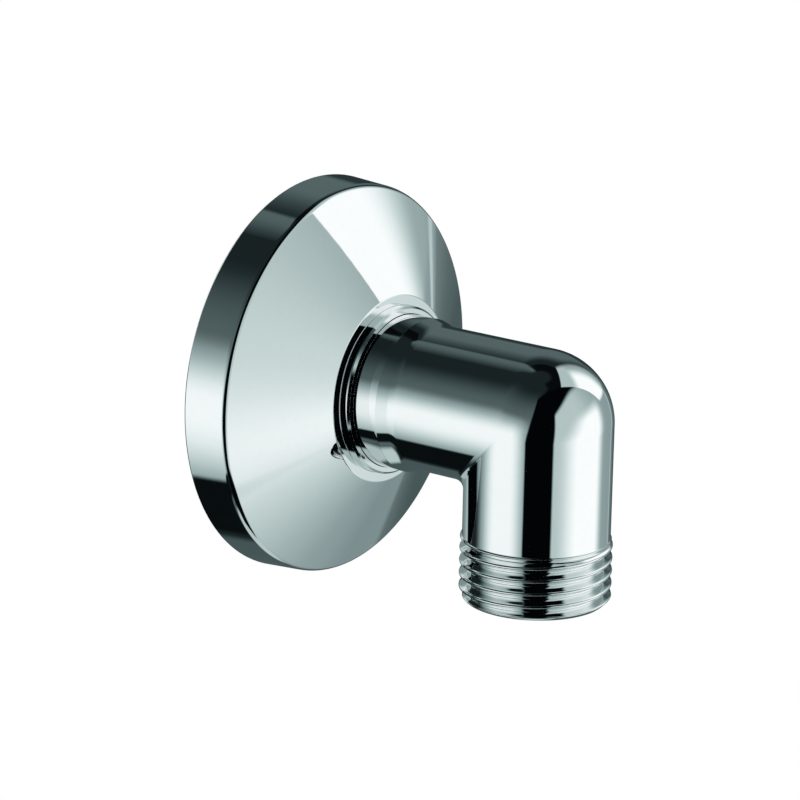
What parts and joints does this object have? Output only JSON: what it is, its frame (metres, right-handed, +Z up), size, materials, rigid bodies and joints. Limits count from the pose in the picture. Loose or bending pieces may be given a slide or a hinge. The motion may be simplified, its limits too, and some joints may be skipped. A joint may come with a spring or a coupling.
{
  "type": "wall outlet elbow",
  "caption": "Chromed shower wall outlet elbow: conical wall rosette that slides on the neck, right-angle body with a ball corner, threaded inlet tail and threaded hose outlet pointing down.",
  "frame": {"origin": "on the axis of the inlet thread, at the wall face that the rosette's rim touches", "axes": "+Y into the wall along the inlet axis, -Y towards the room, -Z along the outlet leg, +Z up"},
  "size_m": [0.056, 0.0608, 0.056],
  "materials": {
    "chrome": "polished chrome plate on brass",
    "rubber": "moulded black rubber"
  },
  "bodies": {
    "elbow": {"elbow_body": "chrome"},
    "rosette": {"rosette": "chrome", "friction_ring": "rubber"}
  },
  "joints": [
    {"name": "rosette_slide", "type": "slide", "parent": "elbow", "child": "rosette", "axis": [0, -1, 0], "range_m": [0, 0.011]}
  ]
}
